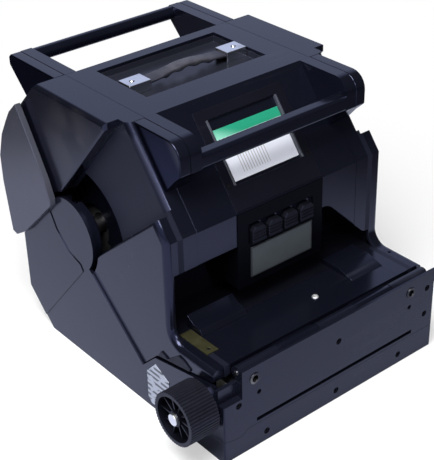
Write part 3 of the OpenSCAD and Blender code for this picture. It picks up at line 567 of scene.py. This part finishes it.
dress(["name_plate"], plate_grey)
soften_edges(["name_plate"], 0.3)

# The label door: a flat raised door on the slope with a pocket for the card between two dark bars.
# The card is printed paper: a green field with plain pale bands above, white with thin bars below.
door_gloss = gloss_moulding("label_door_moulding", (0.0020, 0.0021, 0.0038, 1), rubbed_grey, gloss=0.24)
dress(["label_door"], door_gloss)
soften_edges(["label_door"], 0.4)

card_lo, card_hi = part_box("label_card")
slope_lean = math.atan2(card_hi.z - card_lo.z, card_hi.y - card_lo.y)
card_print = finish("printed_card")
card_x = card_print.axis("X")
card_rise = (math.cos(slope_lean) * (card_print.axis("Y") - card_lo.y)
             + math.sin(slope_lean) * (card_print.axis("Z") - card_lo.z))
card_white = (0.70, 0.72, 0.80, 1)
card_mint = (0.30, 0.66, 0.52, 1)
card_green = (0.010, 0.23, 0.13, 1)
card_ink = (0.23, 0.19, 0.19, 1)
field_starts = 0.0400
field_full = 0.0412
green_slant = 2.2
green_starts = 0.048
green_full = 0.108
lower_band = (0.0440, 0.0455)
upper_band = (0.0480, 0.0500)
band_edge = 0.0005
bar_pitch = 0.0038
bar_across = (0.0006, 0.0018)
bar_edge = 0.0003
bars_across = (-0.031, 0.012)
bars_up = (0.006, 0.027)
bars_edge = 0.001
card_field = card_print.step(card_rise, field_starts, field_full)
card_depth = card_print.step(card_x + green_slant * card_rise, green_starts, green_full)
card_band = (card_print.between(card_rise, *upper_band, band_edge)
             + card_print.between(card_rise, *lower_band, band_edge))
card_bar = (card_print.between(card_x % bar_pitch, *bar_across, bar_edge)
            * card_print.between(card_x, *bars_across, bars_edge)
            * card_print.between(card_rise, *bars_up, bars_edge))
card_paper = card_print.cloud(260, 3)
card_top = card_print.blend(0.75 * card_band,
                            card_print.blend(card_depth, card_mint, card_green), card_white)
card_foot = card_print.blend(0.8 * card_bar, card_white, card_ink)
card_print.surface({
    "Base Color": card_print.blend(card_field, card_foot, card_top),
    "Roughness": 0.36 + 0.16 * card_paper,
    "Normal": card_print.relief(0.02 * card_paper)})
dress(["label_card"], card_print)

bar_smoky = plain_moulding("smoky_bar", (0.030, 0.032, 0.042, 1), (0.065, 0.070, 0.090, 1),
                           rough=0.16, grain_mm=0.004)
dress(["label_frame"], bar_smoky)
soften_edges(["label_frame"], 0.5)

# The two carrying handles: bars moulded between layered arms that run out of the top plate.
# Hands keep the bars glossier than the shell. The outer faces of the arms carry painted shade near the
# slope: there they are made metallic over their near-black colour, so they throw back little light.
bars = ["front_handle", "rear_handle"]
arms = ["left_arms", "right_arms"]
handled_gloss = 0.11
bar_gloss = gloss_moulding("handle_moulding", navy_black, rubbed_grey, handled_gloss)
dress(bars, bar_gloss)
arm_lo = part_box("left_arms")[0]
arm_skin_starts = 0.0015
arm_skin_full = 0.0005
shade_reach = 0.040
shade_ends = 0.056
arm_gloss = gloss_moulding("arm_moulding", navy_black, rubbed_grey, handled_gloss)
arm_outside = arm_gloss.step(abs(arm_gloss.axis("X")),
                             -arm_lo.x - arm_skin_starts, -arm_lo.x - arm_skin_full)
arm_reach = (math.cos(slope_lean) * (arm_gloss.axis("Z") - card_lo.z)
             - math.sin(slope_lean) * (arm_gloss.axis("Y") - card_lo.y))
# Painted shade: the arms' outer faces within about 40 mm of the slope are turned metallic, which shows
# them dark over the near-black colour.
arm_painted_shade = arm_outside * (1 - arm_gloss.step(arm_reach, shade_reach, shade_ends))
arm_gloss.surface({"Metallic": 0.75 * arm_painted_shade})
dress(arms, arm_gloss)
soften_edges(arms + bars, 1.6, 3)

# The strap handle: a tray sunk into the top plate, two chromed end plates screwed into it,
# and between them a bowed strap of dark moulded leather with a finger grip.
tray_satin = gloss_moulding("strap_tray_moulding", (0.012, 0.013, 0.019, 1), rubbed_grey, gloss=0.24)
dress(["strap_tray"], tray_satin)
soften_edges(["strap_tray"], 0.8)
chrome = turned_steel("satin_chrome", (0.83, 0.84, 0.86, 1), 0.16, along_x)
dress(["strap_ends", "strap_screws"], chrome)
soften_edges(["strap_ends"], 1.0, 3)
soften_edges(["strap_screws"], 0.4)

strap_lo, strap_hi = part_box("strap")
strap_half = (strap_hi.x - strap_lo.x) / 2
strap_mid_y = (strap_lo.y + strap_hi.y) / 2
strap_half_w = (strap_hi.y - strap_lo.y) / 2
strap_flat = 0.004
strap_bow_half = 0.058
strap_crest = 0.009
strap_slack = 0.0035
strap_rise = strap_crest - strap_slack
strap_crown = 0.0006
strap_end_share = 0.012
grip_half = 0.040
grip_fade = 0.010
grip_thick = 0.0066
grip_scallop = 0.0010
grip_width_share = 0.84
grip_waver = 0.04
finger_pitch = 0.022
strap_corner = 4.0
strap_steps_along = 241
strap_steps_around = 65


def strap_surface(along, around):
    """A bowed bar: the top follows a squared cosine, the underside is scalloped in the grip.

    along runs from -1 to 1 over the length, and around is the angle round a section. The section is
    a superellipse with a slight crown, and shrinks to nothing at both ends, where it closes.
    """
    x = strap_half * along
    bow = strap_rise * np.cos(np.pi / 2 * np.clip(x / strap_bow_half, -1, 1)) ** 2
    into_grip = np.clip((grip_half - np.abs(x)) / grip_fade, 0, 1)
    into_grip = into_grip * into_grip * (3 - 2 * into_grip)
    scallop = np.cos(2 * np.pi * x / finger_pitch)
    thick = strap_flat + into_grip * (grip_thick - strap_flat - grip_scallop * scallop)
    half_w = strap_half_w * (1 - into_grip * (1 - grip_width_share + grip_waver * scallop))
    end = np.sqrt(np.clip((1 - np.abs(along)) / strap_end_share, 0, 1))
    top = strap_hi.z - strap_slack - strap_rise + bow
    across = np.sign(np.cos(around)) * np.abs(np.cos(around)) ** (2 / strap_corner)
    rise = np.sign(np.sin(around)) * np.abs(np.sin(around)) ** (2 / strap_corner)
    crown = strap_crown * (1 - across ** 2)
    y = strap_mid_y + half_w * across * end
    z = top - thick / 2 + (thick / 2 * rise + crown * (rise > 0) - strap_crown) * end
    return np.stack(np.broadcast_arrays(x, y, z), -1)


strap_along, strap_around = np.meshgrid(np.linspace(-1, 1, strap_steps_along),
                                        np.linspace(2 * np.pi, 0, strap_steps_around), indexing="ij")
strap_piece = sheet_of_points("strap_leather", strap_surface(strap_along, strap_around))
strap_seam = strap_piece.modifiers.new("close_seam", "WELD")
strap_seam.merge_threshold = same_point
strap_piece.data.polygons.foreach_set("use_smooth", np.ones(len(strap_piece.data.polygons), bool))
strap_highlight_depth = 0.013
hide_black = (0.008, 0.008, 0.012, 1)
strap_highlight_grey = (0.150, 0.148, 0.165, 1)
strap_hide = finish("moulded_strap_leather")
hide_pebble = strap_hide.node("ShaderNodeTexVoronoi", {"feature": "SMOOTH_F1"},
                              {"Vector": strap_hide.place(), "Scale": 900.0})
# Painted highlight: the top of the strap, within 13 mm of its highest point, is blended towards a pale
# grey in cloudy patches.
strap_painted_highlight = (strap_hide.step(strap_hide.axis("Z"), strap_hi.z - strap_highlight_depth, strap_hi.z - strap_slack)
            * strap_hide.cloud(70, 3))
strap_hide.surface({
    "Base Color": strap_hide.blend(0.55 * strap_painted_highlight, hide_black, strap_highlight_grey),
    "Specular Tint": gloss_tint,
    "Roughness": 0.42 + 0.2 * strap_hide.cloud(150, 3),
    "Normal": strap_hide.relief(0.10 * hide_pebble)})
strap_piece.data.materials.append(strap_hide.material)
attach(strap_piece, "cover")
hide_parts("strap")

# Small metal on the ledge: an oiled strip of sheet brass with a fixing hole,
# and a turned steel button with a screwdriver slot.
brass_dark = (0.070, 0.066, 0.030, 1)
brass_light = (0.115, 0.108, 0.055, 1)
brass_olive = finish("dull_olive_brass")
brass_patch = brass_olive.cloud(120, 4)
brass_line = brass_olive.cloud(700, 2, (1, 0.04, 1))
brass_olive.surface({
    "Base Color": brass_olive.blend(brass_patch, brass_dark, brass_light),
    "Roughness": 0.36 + 0.22 * brass_patch,
    "Metallic": 0.85,
    "Normal": brass_olive.relief(0.004 * brass_line)})
dress(["brass_strip"], brass_olive)
soften_edges(["brass_strip"], 0.3)
along_z = (1, 1, 0.02)
button_steel = turned_steel("ledge_button_steel", (0.86, 0.86, 0.86, 1), 0.48, along_z)
dress(["ledge_button"], button_steel)
soften_edges(["ledge_button"], 0.3)
